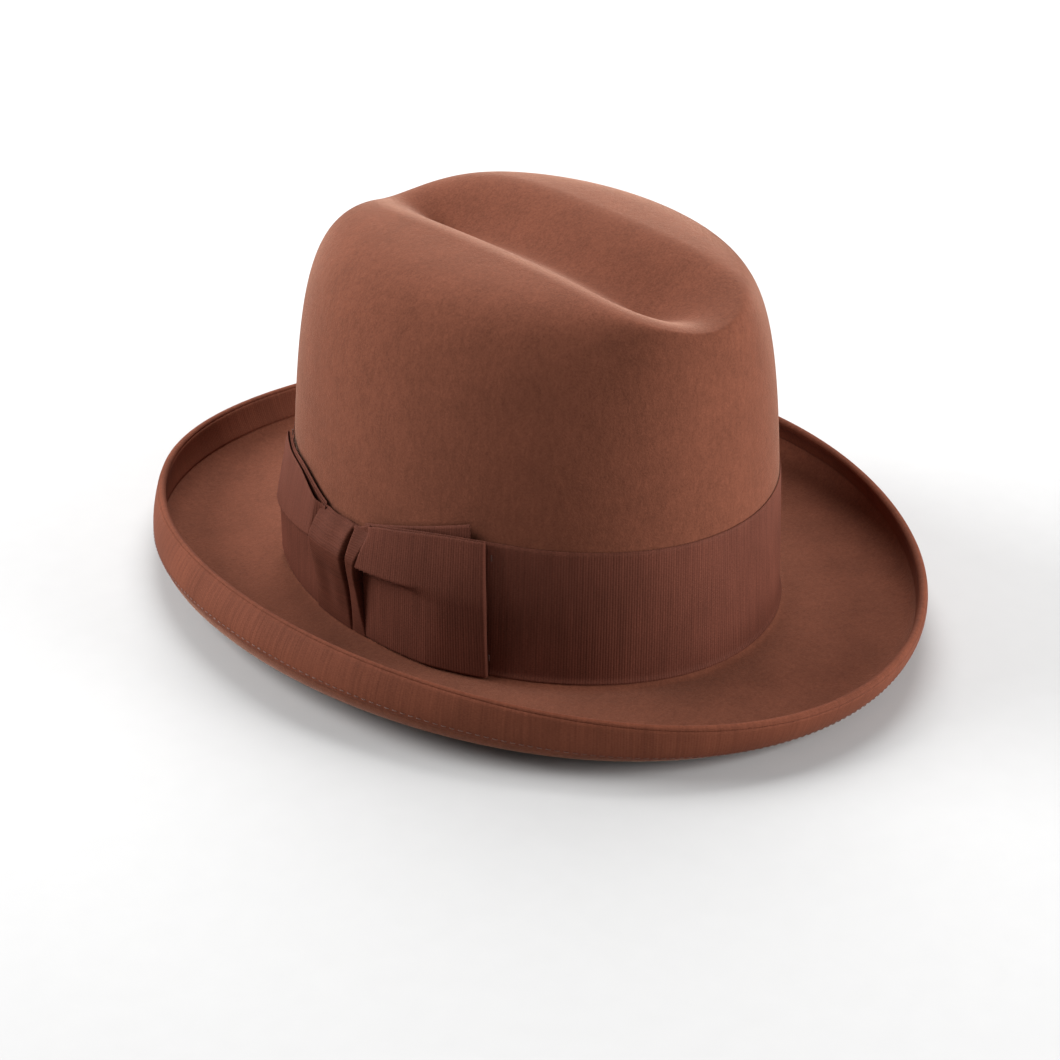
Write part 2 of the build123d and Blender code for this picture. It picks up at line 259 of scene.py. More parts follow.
def wall_heights(angle, heights):
    """The crown's wall at given heights above the base line."""
    wall = trace(wall_curve(angle), 160)
    base = brim_drop + blend(crown_base, angle)
    rise = np.maximum.accumulate(wall[..., 1], 1) - base[:, None]
    heights = np.broadcast_to(heights, (len(angle), np.shape(heights)[-1]))
    out = np.array([np.interp(up, h, r) for up, h, r in zip(heights, rise, wall[..., 0])])
    return pair(out, base[:, None] + heights)


def to_hat(angle, path):
    """Sections in the hat's own frame."""
    out = path[..., 0]
    x = out * np.cos(angle)[:, None]
    y = (out + spine) * np.sin(angle)[:, None]
    return np.stack([x, y, path[..., 1]], -1)


def even_angles(half_width, half_length, step):
    """Fan angles at even steps round an oval, starting at the back.

    Without a step they are spaced for a whole number of the ribbon's ribs.
    """
    fine = np.linspace(pi / 2, pi / 2 + 2 * pi, 7201)
    reach = oval_reach(half_width, half_length, fine)
    plan = np.stack([reach * np.cos(fine), (reach + spine) * np.sin(fine)], -1)
    along = np.concatenate([[0], np.cumsum(np.linalg.norm(np.diff(plan, axis=0), axis=-1))])
    ribs = round(along[-1] / rib_pitch)
    count = ribs * rib_samples if step is None else round(along[-1] / step)
    return np.interp(np.arange(count) * along[-1] / count, along, fine)


# ---------------------------------------------------------------- meshes

waves = rng.normal(size=(wave_count, 3)) / wave_spread
wave_starts = rng.uniform(0, 2 * pi, wave_count)
wave_pushes = rng.normal(size=(wave_count, 3)) * wave_push


def hand_made(points):
    """The slight unevenness that the whole hat shares, so that its layers stay together."""
    return points + np.sin(points @ waves.T + wave_starts) @ wave_pushes


def grid_faces(rows, columns, around, section_closed):
    """Four-cornered faces of a grid, with the corners' rows and columns not yet wrapped."""
    i = np.arange(rows if around else rows - 1)
    j = np.arange(columns if section_closed else columns - 1)
    i, j = (side.ravel() for side in np.meshgrid(i, j, indexing="ij"))
    return np.stack([i, i + 1, i + 1, i], -1), np.stack([j, j, j + 1, j + 1], -1)


def fan_faces(rows, columns):
    """Faces of a ring of sections whose first and last points lie on the spine.

    Each of those points serves the sections on both sides of the hat.
    """
    i, j = grid_faces(rows, columns, True, False)
    row = i % rows
    opposite = (rows - row) % rows
    shared = np.where((j == 0) | (j == columns - 1), np.minimum(row, opposite), row)
    return i, j, shared * columns + j


def make_piece(name, points, faces, uv, surface, nodes=()):
    """A piece of the hat: its mesh, material, body, material slot and the nodes it replaces."""
    used, renumbered = np.unique(faces, return_inverse=True)
    points = points.reshape(-1, 3)[used]
    faces = renumbered.reshape(faces.shape)
    a, b, c, d = (points[faces[:, k]] for k in range(4))
    volume = np.einsum("ij,ij->i", a, np.cross(b, c)).sum()
    volume += np.einsum("ij,ij->i", a, np.cross(c, d)).sum()
    if volume < 0:
        faces, uv = faces[:, ::-1], uv[:, ::-1]
    mesh = bpy.data.meshes.new(name)
    mesh.vertices.add(len(points))
    mesh.vertices.foreach_set("co", (hand_made(points) * MM).astype(np.float32).ravel())
    mesh.loops.add(faces.size)
    mesh.loops.foreach_set("vertex_index", faces.astype(np.int32).ravel())
    mesh.polygons.add(len(faces))
    mesh.polygons.foreach_set("loop_start", np.arange(0, faces.size, 4, dtype=np.int32))
    mesh.polygons.foreach_set("use_smooth", np.ones(len(faces), dtype=bool))
    mesh.uv_layers.new(name="cloth")
    mesh.uv_layers["cloth"].data.foreach_set("uv", (uv * MM).astype(np.float32).ravel())
    mesh.update(calc_edges=True)
    mesh.validate()
    piece = bpy.data.objects.new(name, mesh)
    bpy.context.scene.collection.objects.link(piece)
    mesh.materials.append(surface)
    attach(piece, "root")
    if nodes:
        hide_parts(*nodes)
    return piece


def mean_run(grid):
    """Length along the rows of a grid, averaged over its columns."""
    steps = np.linalg.norm(np.diff(grid, axis=0), axis=-1).mean(1)
    return np.concatenate([[0], np.cumsum(steps)])


def even_grid(grid, pitch=rib_pitch):
    """The same surface with its rows spaced for the ribs of the ribbon."""
    run = mean_run(grid)
    count = int(run[-1] / pitch) * rib_samples + 1
    spots = np.linspace(0, run[-1], count)
    flat = grid.reshape(len(grid), -1)
    fresh = np.stack([np.interp(spots, run, flat[:, k]) for k in range(flat.shape[1])], -1)
    return fresh.reshape(count, *grid.shape[1:])


def make_sheet(name, middle, thickness, surface, nodes=(), around=False, ribs=1.0):
    """A sheet of some thickness round a middle surface.

    ribs is the share of their full height that its ribs have.
    """
    rows, columns = middle.shape[:2]
    if around:
        run = np.roll(middle, -1, 0) - np.roll(middle, 1, 0)
    else:
        run = np.gradient(middle, axis=0)
    normal = np.cross(run, np.gradient(middle, axis=1))
    normal /= np.maximum(np.linalg.norm(normal, axis=-1, keepdims=True), 1e-9)
    half = np.full(columns, thickness / 2)
    half[[0, -1]] *= edge_thinning
    depth = half[None, :, None]
    if ribs:
        rib = np.sqrt(np.abs(np.sin(pi * np.arange(rows) / rib_samples)))
        depth = depth + (ribs * rib_height * (rib - rib_level))[:, None, None]
    ring = np.concatenate([middle + normal * depth, (middle - normal * depth)[:, ::-1]], 1)
    i, j = grid_faces(rows, 2 * columns, around, True)
    index = (i % rows) * 2 * columns + j % (2 * columns)
    along = np.append(mean_run(middle), 0)
    along[rows] = along[rows - 1] * rows / (rows - 1)
    across = mean_run(middle.transpose(1, 0, 2))
    across = np.concatenate([across, across[::-1], across[:1]])
    uv = np.stack([along[i], across[j]], -1)
    if not around:
        k = np.arange(columns - 1)
        cap = np.stack([k, k + 1, 2 * columns - 2 - k, 2 * columns - 1 - k], -1)
        last = (rows - 1) * 2 * columns
        index = np.concatenate([index, cap, last + cap[:, ::-1]])
        cap_uv = np.stack([np.zeros(cap.shape), across[cap]], -1)
        uv = np.concatenate([uv, cap_uv, cap_uv])
    return make_piece(name, ring, index, uv, surface, nodes)


def make_threads(name, places, along, outward, size, surface, node):
    """A row of stitches: short threads of a length and radius, whose ends dive into the cloth."""
    length, radius = size
    sides = 6
    stations = np.array([-1, -0.93, -0.7, -0.3, 0.3, 0.7, 0.93, 1])
    width = np.array([0.35, 0.75, 1, 1, 1, 1, 0.75, 0.35]) * radius
    rise = (0.5 - 1.3 * stations ** 4) * radius
    side = np.cross(along, outward)
    turn = np.arange(sides) * 2 * pi / sides
    centre = places[:, None] + along[:, None] * (stations * length / 2)[None, :, None]
    centre = centre + outward[:, None] * rise[None, :, None]
    spoke = outward[:, None] * np.cos(turn)[None, :, None]
    spoke = spoke + side[:, None] * np.sin(turn)[None, :, None]
    points = centre[:, :, None] + spoke[:, None] * width[None, :, None, None]
    i, j = grid_faces(len(stations), sides, False, True)
    one = i * sides + j % sides
    tail = (len(stations) - 1) * sides
    caps = np.array([[0, 1, 2, 3], [0, 3, 4, 5]])      # two faces close each six-sided end
    one = np.concatenate([one, caps, tail + caps[:, ::-1]])
    first = np.arange(len(places)) * len(stations) * sides
    faces = (one[None] + first[:, None, None]).reshape(-1, 4)
    spots = np.stack([i * length / len(stations), j % sides * radius], -1)
    spots = np.concatenate([spots, np.zeros((4, 4, 2))])
    uv = np.tile(spots, (len(places), 1, 1))
    return make_piece(name, points, faces, uv, surface, [node])


# ---------------------------------------------------------------- materials

class Surface:
    """A material under construction, with short ways to add its nodes."""

    def __init__(self, name, **values):
        self.material = bpy.data.materials.new(name)
        self.material.use_nodes = True
        self.nodes = self.material.node_tree.nodes
        self.links = self.material.node_tree.links
        self.shader = self.nodes["Principled BSDF"]
        for socket, value in values.items():
            self.shader.inputs[socket.replace("_", " ")].default_value = value

    def add(self, kind, inputs=(), **settings):
        """A node whose inputs are linked to sockets or set to values."""
        node = self.nodes.new("ShaderNode" + kind)
        for key, value in settings.items():
            setattr(node, key, value)
        for socket, value in dict(inputs).items():
            if isinstance(value, bpy.types.NodeSocket):
                self.links.new(value, node.inputs[socket])
            else:
                node.inputs[socket].default_value = value
        return node

    def place(self, scale, uv=False):
        """Coordinates from the object, or from the cloth's own length and width."""
        if uv:
            source = self.add("UVMap", uv_map="cloth").outputs["UV"]
        else:
            source = self.add("TexCoord").outputs["Object"]
        return self.add("Mapping", {"Vector": source, "Scale": scale}).outputs["Vector"]

    def noise(self, scale, detail=3.0, stretch=(1, 1, 1), uv=False, rough=0.5):
        """Noise of so many bumps to the metre, stretched where an axis has a smaller share."""
        spot = self.place([scale * s for s in stretch], uv)
        inputs = {"Vector": spot, "Scale": 1.0, "Detail": detail, "Roughness": rough}
        return self.add("TexNoise", inputs).outputs["Fac"]

    def between(self, low, high, factor):
        """A ramp from one colour to another."""
        ramp = self.add("ValToRGB", {"Fac": factor})
        ramp.color_ramp.elements[0].color = (*low, 1)
        ramp.color_ramp.elements[1].color = (*high, 1)
        return ramp

    def tint(self, colour, factor, low, high):
        """Multiply a colour by a grey that runs from low to high."""
        grey = self.add("MapRange", {"Value": factor, "From Min": 0.3, "From Max": 0.7,
                                     "To Min": low, "To Max": high}).outputs["Result"]
        return self.add("VectorMath", {0: colour, 1: grey}, operation="MULTIPLY").outputs["Vector"]

    def bump(self, height, distance, strength=1.0, after=None):
        inputs = {"Height": height, "Distance": distance, "Strength": strength}
        if after is not None:
            inputs["Normal"] = after
        return self.add("Bump", inputs).outputs["Normal"]

    def finish(self, colour, normal, roughness=None):
        self.links.new(colour, self.shader.inputs["Base Color"])
        self.links.new(normal, self.shader.inputs["Normal"])
        if roughness is not None:
            self.links.new(roughness, self.shader.inputs["Roughness"])
        return self.material


def felt_material():
    """Brushed fur felt: a fine nap, soft mottling and a light sheen at the edges."""
    s = Surface("felt", Roughness=0.95, Specular_IOR_Level=0.1, Sheen_Weight=0.40,
                Sheen_Roughness=0.32, Sheen_Tint=(1.0, 0.64, 0.48, 1))
    nap = s.noise(1300, 4, rough=0.65)
    colour = s.between((0.092, 0.0290, 0.0160), (0.225, 0.0752, 0.0434), nap).outputs["Color"]
    colour = s.tint(colour, s.noise(70, 4), 0.93, 1.07)
    colour = s.tint(colour, s.noise(560, 3, stretch=(1, 1, 0.4)), 0.91, 1.09)
    normal = s.bump(s.noise(300, 4), 0.0005, 0.28)
    normal = s.bump(nap, 0.0004, 0.42, normal)
    return s.finish(colour, normal)


def grosgrain_material(name, low, high):
    """Ribbed ribbon: ribs in the mesh, and here the fine warp threads that cross them."""
    s = Surface(name, Roughness=0.70, Specular_IOR_Level=0.06, Sheen_Weight=0.05,
                Sheen_Roughness=0.3, Sheen_Tint=(1.0, 0.55, 0.42, 1))
    warp = s.noise(3200, 2, stretch=(0.25, 1, 1), uv=True)
    colour = s.between(low, high, warp).outputs["Color"]
    colour = s.tint(colour, s.noise(900, 2, stretch=(1, 0.03, 1), uv=True), 0.88, 1.12)
    colour = s.tint(colour, s.noise(45, 3), 0.9, 1.1)
    return s.finish(colour, s.bump(warp, 0.00012, 0.6))


def thread_material(name, colour):
    """Spun thread, darker between its plies."""
    s = Surface(name, Roughness=0.6, Specular_IOR_Level=0.3, Sheen_Weight=0.3)
    ply = s.noise(2600, 2)
    dark = [c * 0.6 for c in colour]
    return s.finish(s.between(dark, colour, ply).outputs["Color"], s.bump(ply, 0.0001, 0.5))


def leather_material():
    """Smooth calf with a fine grain, darker where it is handled."""
    s = Surface("leather", Roughness=0.42, Specular_IOR_Level=0.5)
    cells = s.add("TexVoronoi", {"Vector": s.place((1400,) * 3), "Scale": 1.0}).outputs["Distance"]
    creases = s.noise(420, 5, rough=0.6)
    wear = s.noise(38, 4)
    colour = s.between((0.105, 0.036, 0.016), (0.22, 0.088, 0.04), wear).outputs["Color"]
    colour = s.tint(colour, creases, 0.85, 1.1)
    normal = s.bump(cells, 0.0001, 0.35)
    normal = s.bump(creases, 0.0002, 0.4, normal)
    rough = s.add("MapRange", {"Value": creases, "To Min": 0.34, "To Max": 0.56}).outputs["Result"]
    return s.finish(colour, normal, rough)


def satin_material(name, low, high):
    """Satin: long fine floats along the cloth and a soft gloss across them."""
    s = Surface(name, Roughness=0.34, Specular_IOR_Level=0.5, Anisotropic=0.5, Sheen_Weight=0.2)
    floats = s.noise(2400, 2, stretch=(1, 0.06, 1), uv=True)
    colour = s.between(low, high, floats).outputs["Color"]
    colour = s.tint(colour, s.noise(40, 3), 0.93, 1.07)
    return s.finish(colour, s.bump(floats, 0.00006, 0.5))


def label_material():
    """Woven label tape."""
    s = Surface("label", Roughness=0.55, Specular_IOR_Level=0.3)
    weave = s.add("TexChecker", {"Vector": s.place((2600, 2600, 1), uv=True), "Scale": 1.0})
    fibre = s.noise(700, 4)
    colour = s.between((0.5, 0.42, 0.29), (0.66, 0.58, 0.44), fibre).outputs["Color"]
    return s.finish(colour, s.bump(weave.outputs["Fac"], 0.00005, 0.3))


def film_material():
    """Clear plastic film with faint handling marks."""
    s = Surface("clear_film", Roughness=0.08, IOR=1.46, Transmission_Weight=0.95)
    marks = s.noise(60, 5)
    colour = s.between((0.9, 0.92, 0.92), (0.98, 0.98, 0.98), marks).outputs["Color"]
    rough = s.add("MapRange", {"Value": marks, "To Min": 0.05, "To Max": 0.18}).outputs["Result"]
    return s.finish(colour, s.bump(marks, 0.0001, 0.2), rough)


def reed_material():
    s = Surface("reed", Roughness=0.4)
    grain = s.noise(900, 3)
    colour = s.between((0.13, 0.07, 0.038), (0.21, 0.12, 0.07), grain).outputs["Color"]
    return s.finish(colour, s.bump(grain, 0.00005, 0.3))


def floor_material():
    s = Surface("floor_paint", Roughness=0.8)
    grain = s.noise(90, 2)
    colour = s.between((0.53, 0.53, 0.53), (0.55, 0.55, 0.55), grain).outputs["Color"]
    return s.finish(colour, s.bump(grain, 0.0001, 0.05))


felt_surface = felt_material()
grosgrain = grosgrain_material("grosgrain", (0.075, 0.0226, 0.0140), (0.165, 0.0540, 0.0352))
binding_grosgrain = grosgrain_material("binding_grosgrain", (0.098, 0.0285, 0.0150),
                                       (0.205, 0.0640, 0.0360))
# The same grosgrain as the band, made darker: painted shade for the deep folds of the knot.
knot_grosgrain_painted_shade = grosgrain_material("knot_grosgrain_painted_shade", (0.062, 0.0178, 0.0105),
                                    (0.138, 0.0430, 0.0266))
brown_thread = thread_material("ribbon_thread", (0.165, 0.052, 0.028))
dark_thread = thread_material("bow_thread", (0.09, 0.026, 0.016))
tan_thread = thread_material("leather_thread", (0.42, 0.27, 0.14))
leather_surface = leather_material()
lining_satin = satin_material("satin", (0.30, 0.185, 0.10), (0.46, 0.31, 0.18))
bow_satin = satin_material("satin_ribbon", (0.07, 0.024, 0.016), (0.15, 0.06, 0.04))
label_surface = label_material()
clear_film = film_material()


# ---------------------------------------------------------------- felt hood

def make_felt():
    """The whole hood: its upper side, its rim and its inside, in sections round the spine."""
    angle = -pi / 2 + 2 * pi * np.arange(felt_rows) / felt_rows
    upper = join(trace(brim_curve(angle), 36), trace(break_curve(angle), 7),
                 trace(wall_curve(angle), 90), trace(dent_curve(angle), 36))
    outline = join(trace(brim_curve(angle), 24), trace(break_curve(angle), 7),
                   trace(wall_curve(angle), 40), trace(dent_curve(angle), 20))
    under = offset(outline, felt)
    under[:, -1, 0] = 0
    run = upper[:, 0] - upper[:, 1]
    run /= np.linalg.norm(run, axis=-1, keepdims=True)
    middle, across = (upper[:, 0] + under[:, 0]) / 2, (under[:, 0] - upper[:, 0]) / 2
    turn = np.linspace(0, pi, 9)[None, 1:-1, None]
    bulge = run[:, None] * np.sin(turn) * felt * rim_round
    edge = middle[:, None] + across[:, None] * np.cos(turn) + bulge
    section = np.concatenate([under[:, ::-1], edge, upper], 1)
    points = to_hat(angle, section)
    rows, columns = points.shape[:2]
    i, j, faces = fan_faces(rows, columns)
    length = lengths_of(section)
    around = angle * texture_radius
    uv = np.stack([np.append(around, around[-1] + 1)[i], length[i % rows, j]], -1)
    make_piece("felt_hood", points, faces, uv, felt_surface, ["felt_body"])


# ---------------------------------------------------------------- binding and band

def make_binding():
    """The ribbon folded over the brim's rim, with its inner edge sunk into the felt."""
    angle = even_angles(brim_half_width, brim_half_length, None)
    upper = trace(brim_curve(angle), 90)
    under = offset(upper, felt)
    rise = skin_gap + ribbon / 2
    inward = np.linspace(0, binding_inside, 16)
    above = at_lengths(offset(upper, -rise), inward)
    pressed = at_lengths(offset(upper, -ribbon * 0.2), inward)
    sunk = ease(inward, binding_inside - binding_press, binding_inside)
    above += (pressed - above) * sunk[None, :, None]
    below = at_lengths(offset(under, rise), np.linspace(0, binding_outside, 14))
    run = upper[:, 0] - upper[:, 1]
    run /= np.linalg.norm(run, axis=-1, keepdims=True)
    middle, across = (above[:, 0] + below[:, 0]) / 2, (below[:, 0] - above[:, 0]) / 2
    turn = np.linspace(0, pi, 11)[None, 1:-1, None]
    reach = felt / 2 + rise
    fold = middle[:, None] + across[:, None] * np.cos(turn) + run[:, None] * np.sin(turn) * reach
    section = np.concatenate([above[:, ::-1], fold, below], 1)
    piece = make_sheet("rim_binding", to_hat(angle, section), ribbon, binding_grosgrain,
                       ["brim_binding"], around=True, ribs=0.5)


# ---------------------------------------------------------------- the bow's own coordinates
# On the wearer's left a place is given along the band (0 in the middle of the knot, growing
# to the back), above the base line, and out from the felt.

fine_angle = np.radians(np.arange(-80.0, 80.0, 0.25))
fine_height = np.arange(crown_break, 72.0, 1.0)
knot_angle = radians(-3.4)
loop_inner = 1.75                    # standoff of a loop's layer next to the band
underlay_out = 1.12                  # standoff of a tail under its loop
knot_bottom = 0.9
knot_top = 43.8
band_line = to_hat(fine_angle, wall_heights(fine_angle, [25.0]))[:, 0]
band_run = np.concatenate([[0], np.cumsum(np.linalg.norm(np.diff(band_line, axis=0), axis=-1))])
band_run -= np.interp(knot_angle, fine_angle, band_run)
wall_out = wall_heights(fine_angle, fine_height)[..., 0]


def wall_spot(along, height):
    """A place on the felt beside the bow."""
    angle = np.interp(along, band_run, fine_angle)
    i = np.clip((angle - fine_angle[0]) / (fine_angle[1] - fine_angle[0]), 0, len(fine_angle) - 1.01)
    j = np.clip(height - fine_height[0], 0, len(fine_height) - 1.01)
    i0, j0 = i.astype(int), j.astype(int)
    fi, fj = i - i0, j - j0
    out = ((wall_out[i0, j0] * (1 - fj) + wall_out[i0, j0 + 1] * fj) * (1 - fi)
           + (wall_out[i0 + 1, j0] * (1 - fj) + wall_out[i0 + 1, j0 + 1] * fj) * fi)
    base = brim_drop + blend(crown_base, angle)
    return np.stack([out * np.cos(angle), (out + spine) * np.sin(angle), base + height], -1)


def bow_place(along, height, standoff):
    """Places given in the bow's coordinates, in the hat's own frame."""
    values = np.broadcast_arrays(along, height, standoff)
    along, height, standoff = (np.asarray(v, float) for v in values)
    spot = wall_spot(along, height)
    sideways = wall_spot(along + 1, height) - wall_spot(along - 1, height)
    upward = wall_spot(along, height + 1) - wall_spot(along, height - 1)
    normal = np.cross(sideways, upward)
    normal /= np.linalg.norm(normal, axis=-1, keepdims=True)
    return spot + normal * standoff[..., None]


# The knot gathers the band, so its top edge dips on the way there: places along, heights.
band_top = ([-150, -100, -62, -32, -12, 8, 17, 37, 62, 90, 150],
            [band_height, band_height, 49.0, 48.4, 42.6, 41.8, 43.6, 50.0, band_height,
             band_height, band_height])


def make_band():
    """The ribbon round the foot of the crown, which turns out a little over the break."""
    angle = even_angles(crown_half_width, crown_half_length, None)
    rise = skin_gap + ribbon / 2
    along = np.interp((angle + pi / 2) % (2 * pi) - pi / 2, fine_angle, band_run)
    top = curve_through(along, *band_top)[:, None]
    heights = crown_break + (top - crown_break) * np.linspace(0, 1, 30)
    path = join(trace(break_curve(angle), 6, 0.5), wall_heights(angle, heights))
    piece = make_sheet("crown_band", to_hat(angle, offset(path, -rise)), ribbon, grosgrain,
                       ["hat_band"], around=True)


def make_loop(name, node, start, end, lean, bottom, top, standoff):
    """A flattened loop of ribbon: an outer layer, a fold at its end and a layer below it.

    bottom, top and standoff are functions of the place along the band; standoff also of height.
    lean is how much further the foot of the end reaches than its top.
    """
    share = np.linspace(0, 1, 84)[None, :]
    way = np.sign(end - start)
    outer_along = np.linspace(start, end, 90)[:, None]
    turn = np.linspace(0, pi, 25)[1:-1, None]

    def layer(along, far):
        height = bottom(along) + (top(along) - bottom(along)) * share
        return height, standoff(along, height) if far else loop_inner + 0 * height

    def leant(along):
        reached = np.clip((along - start) / (end - start), 0, 1) ** 2
        return along + way * lean * (1 - share) ** 1.5 * reached

    height, out = layer(outer_along, True)
    outer = bow_place(leant(outer_along), height, out)
    end_height, end_out = layer(np.array([[end]]), True)
    radius = (end_out - loop_inner) / 2
    fold_along = leant(np.array([[end]])) + way * radius * np.sin(turn)
    fold_out = loop_inner + radius * (1 + np.cos(turn))
    fold = bow_place(fold_along, end_height + 0 * fold_along, fold_out)
    back_along = np.linspace(end, start, 60)[:, None]
    height, out = layer(back_along, False)
    back = bow_place(leant(back_along), height, out)
    grid = even_grid(np.concatenate([outer, fold, back]))
    piece = make_sheet(name, grid, ribbon, grosgrain, [node])


def knot_right(height):
    """Where the knot ends towards the back."""
    heights = [knot_bottom, 14, 29, 36, knot_top]
    return curve_through(height, heights, [14.8, 13.2, 12.4, 14.2, 17.2])


def rear_standoff(along, height):
    """The rear loop swells above a crease that starts at the knot and fades out behind it.

    Below the crease lies a facet that faces the front, up to a soft upright fold.
    """
    crease, fold = 29.5, 43.0
    way = np.clip((along - 13) / (fold - 13), 0, 1)
    beyond = np.clip((along - fold) / 21, 0, 1)
    down = np.clip((crease - height) / 27, 0, 1)
    swell = 6.9 - 1.6 * way - 1.1 * beyond
    upper = swell - (swell - 3.3) * np.clip((height - crease - 1) / 23, -0.1, 1)
    before = 1.9 + 2.1 * way + 0.5 * down
    after = 5.0 - 1.0 * beyond - 0.5 * down
    facet = before + (after - before) * ease(along, fold - 3, fold + 7)
    sharp = 0.6 + 3.2 * way ** 4
    mix = ease(height, crease - sharp, crease + sharp)
    out = facet * (1 - mix) + upper * mix
    tuck = 1 - ease(along, knot_right(height) - 2.4, knot_right(height) + 0.3)
    return out * (1 - tuck) + 1.9 * tuck


def front_standoff(along, height):
    """The front loop's upper flap overhangs one long crease; a flatter facet lies below it."""
    far = np.clip((-17 - along) / 45, 0, 1)
    crease = 30 - 6 * far
    upper = (6.8 - 0.4 * far) - 3.6 * np.clip((height - crease) / (50 - crease), 0, 1)
    lower = (2.6 + 2.5 * far) - (0.3 + 0.9 * far) * np.clip((crease - height) / crease, 0, 1)
    mix = ease(height, crease - 1.0, crease + 0.5)
    out = lower * (1 - mix) + upper * mix
    tuck = 1 - ease(-along, 12, 17)
    return out * (1 - tuck) + 2.6 * tuck


def make_underlay(name, node, start, end, bottom, top):
    """A flat layer of ribbon under a loop, with its top edge showing."""
    along = np.linspace(start, end, 100)[:, None]
    share = np.linspace(0, 1, 26)[None, :]
    height = bottom + (top(along) - bottom) * share
    roll = 0.35 * ease(share, 0.9, 1.0)
    clear_of_flare = 1.2 * (1 - ease(height, 1.5, 5))
    grid = bow_place(along + 0 * height, height, underlay_out + roll + clear_of_flare)
    piece = make_sheet(name, even_grid(grid), ribbon, grosgrain, [node])


def make_knot():
    """The knot: a ribbon wrapped upright over the loops, in one wide pleat and one narrow one."""
    heights = np.concatenate([np.linspace(knot_bottom, 28, 50), np.linspace(28.5, 38, 30),
                              np.linspace(38.4, knot_top, 24)])[:, None]
    share = np.linspace(0, 1, 150)[None, :]
    groove, half_groove = 7.3, 0.5
    left = -15.6 + 1.4 * ease(heights, 2, 30)
    right = knot_right(heights)
    along = left + (right - left) * share
    swell = curve_through(heights, [knot_bottom, 10, 20, 29, 32, 35.5, 40, 42.6, knot_top],
                          [2.7, 4.1, 5.9, 8.0, 8.4, 7.2, 4.7, 2.6, 1.5])
    wide = np.abs((2 * along - left - groove + half_groove) / (groove - half_groove - left))
    narrow = np.abs((2 * along - groove - half_groove - right) / (right - groove - half_groove))
    wide = np.clip(1 - wide ** 26, 0, 1) ** 0.5
    narrow = np.clip(1 - narrow ** 12, 0, 1) ** 0.5
    pleat = np.where(along < groove, wide, 0.84 * narrow)
    lowest = np.minimum(2.3, swell)
    drape = 0.3 * np.sin(along * 0.55 + 0.8) * np.sin(heights * 0.11) * ease(heights, 2, 12)
    out = lowest + (swell - lowest + drape) * pleat
    grid = even_grid(bow_place(along, heights + 0 * along, out))
    # Its ribbon is darker than the band's: painted shade in the knot's folds.
    piece = make_sheet("knot", grid, ribbon, knot_grosgrain_painted_shade, ["bow_knot"])


# Edges of the bow's layers: the height at each place along the band.

def rear_loop_bottom(along):
    return 1.0 + 0 * along


def rear_loop_top(along):
    return curve_through(along, [10, 16, 30, 48, 66], [44.0, 46.8, 50.2, 53.2, 54.5])


def rear_underlay_top(along):
    return 50.5 + (along - 27.5) * (9.0 / 31.0)


def front_loop_bottom(along):
    return 1.3 - 0.015 * (along + 15)


def front_loop_top(along):
    return curve_through(along, [-64, -50, -32, -15, -10], [51.8, 50.6, 50.0, 44.6, 43.4])


def front_underlay_top(along):
    return curve_through(along, [-60, -50, -32, -15, -10], [52.3, 51.6, 51.2, 45.9, 44.4])


def make_bow():
    """The bow: two loops, a tail under each, and the knot that wraps them all."""
    make_loop("rear_loop", "bow_rear_loop", start=9.0, end=64.0, lean=2.2,
              bottom=rear_loop_bottom, top=rear_loop_top, standoff=rear_standoff)
    make_loop("front_loop", "bow_front_loop", start=-11.0, end=-61.5, lean=0.0,
              bottom=front_loop_bottom, top=front_loop_top, standoff=front_standoff)
    make_underlay("rear_underlay", "bow_rear_underlay", start=12.0, end=58.6,
                  bottom=24.0, top=rear_underlay_top)
    make_underlay("front_underlay", "bow_front_underlay", start=-12.0, end=-58.0,
                  bottom=1.6, top=front_underlay_top)
    make_knot()


# ---------------------------------------------------------------- inside of the crown

# Distances in from the felt's outside, in mm.

seam_gap = 0.6                       # between the lining's wall and its top
lining_clearance = 0.15              # between the lining and the sweatband
lining_middle = felt + skin_gap + satin / 2
sweatband_middle = felt + skin_gap + satin + lining_clearance + leather / 2
sweatband_face = sweatband_middle + leather / 2


def make_sweatband():
    """The leather band inside the head opening, down to the level of the brim."""
    angle = even_angles(crown_half_width, crown_half_length, 1.5)
    heights = np.linspace(crown_break, sweatband_height, 40)
    wall = wall_heights(angle, heights)
    foot = wall[:, :1] - (0, sweatband_fall)
    path = np.concatenate([foot, wall], 1)
    piece = make_sheet("sweat_leather", to_hat(angle, offset(path, sweatband_middle)), leather,
                       leather_surface, ["sweatband"], around=True, ribs=0.0)


def make_lining():
    """The lining's gathered wall, whose pleats are free above the sweatband."""
    angle = even_angles(crown_half_width, crown_half_length, 1.2)
    heights = np.linspace(lining_bottom, lining_seam, 50)
    wall = wall_heights(angle, heights)
    pleat = (0.5 + 0.5 * np.sin(angle * lining_pleats + 0.8 * np.sin(angle * 9)))[:, None]
    free = ease(heights, sweatband_height + 2, sweatband_height + 18)
    free = free * (1 - ease(heights, lining_seam - 12, lining_seam - 1))
    path = offset(wall, (lining_middle + lining_pleat_depth * pleat * free)[..., None])
    piece = make_sheet("lining_wall", to_hat(angle, path), satin, lining_satin,
                       ["lining_side"], around=True, ribs=0.0)


